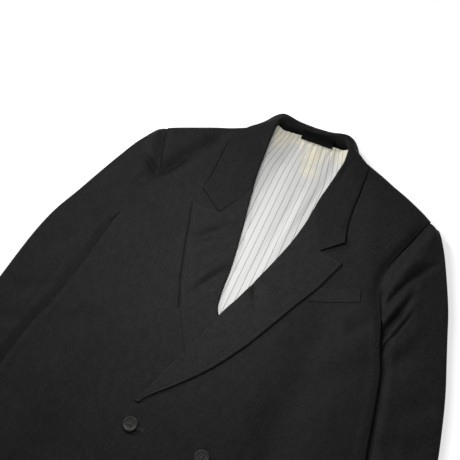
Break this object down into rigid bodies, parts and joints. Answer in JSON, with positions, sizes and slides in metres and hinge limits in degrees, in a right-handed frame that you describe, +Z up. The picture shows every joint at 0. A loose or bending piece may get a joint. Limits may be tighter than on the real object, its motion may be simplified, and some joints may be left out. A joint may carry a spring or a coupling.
{
  "type": "double-breasted blazer laid flat",
  "caption": "Long-sleeved double-breasted tailored jacket laid flat on its back, with peaked lapels, breast welt, striped back lining and a low buttoned wrap front.",
  "frame": {"origin": "on the floor under the middle of the garment's footprint", "axes": "+Y from the hem to the collar, +X to the wearer's left, +Z up from the floor"},
  "size_m": [0.6856, 0.7866, 0.0388],
  "materials": {
    "suiting": "matte charcoal wool twill with fine lighter flecks",
    "lapel_facing": "the same charcoal wool, a shade lighter where it faces up",
    "striped_lining": "ivory satin lining with thin dark stripes and faint yellow stains at the neck",
    "neck_label": "bare black woven label",
    "button": "dark satin plastic with four holes"
  },
  "bodies": {
    "root": {"back_right": "suiting", "back_left": "suiting", "side_right": "suiting", "side_left": "suiting", "front_right": "suiting", "front_left": "suiting", "sleeve_right_top": "suiting", "sleeve_right_under": "suiting", "sleeve_left_top": "suiting", "sleeve_left_under": "suiting", "chest_welt": "suiting", "lapel_right": "lapel_facing", "lapel_left": "lapel_facing", "collar": "lapel_facing", "collar_stand": "lapel_facing", "lining_back": "striped_lining", "neck_label": "neck_label", "button_right_1": "button", "button_left_1": "button", "button_right_2": "button", "button_left_2": "button"}
  },
  "joints": []
}
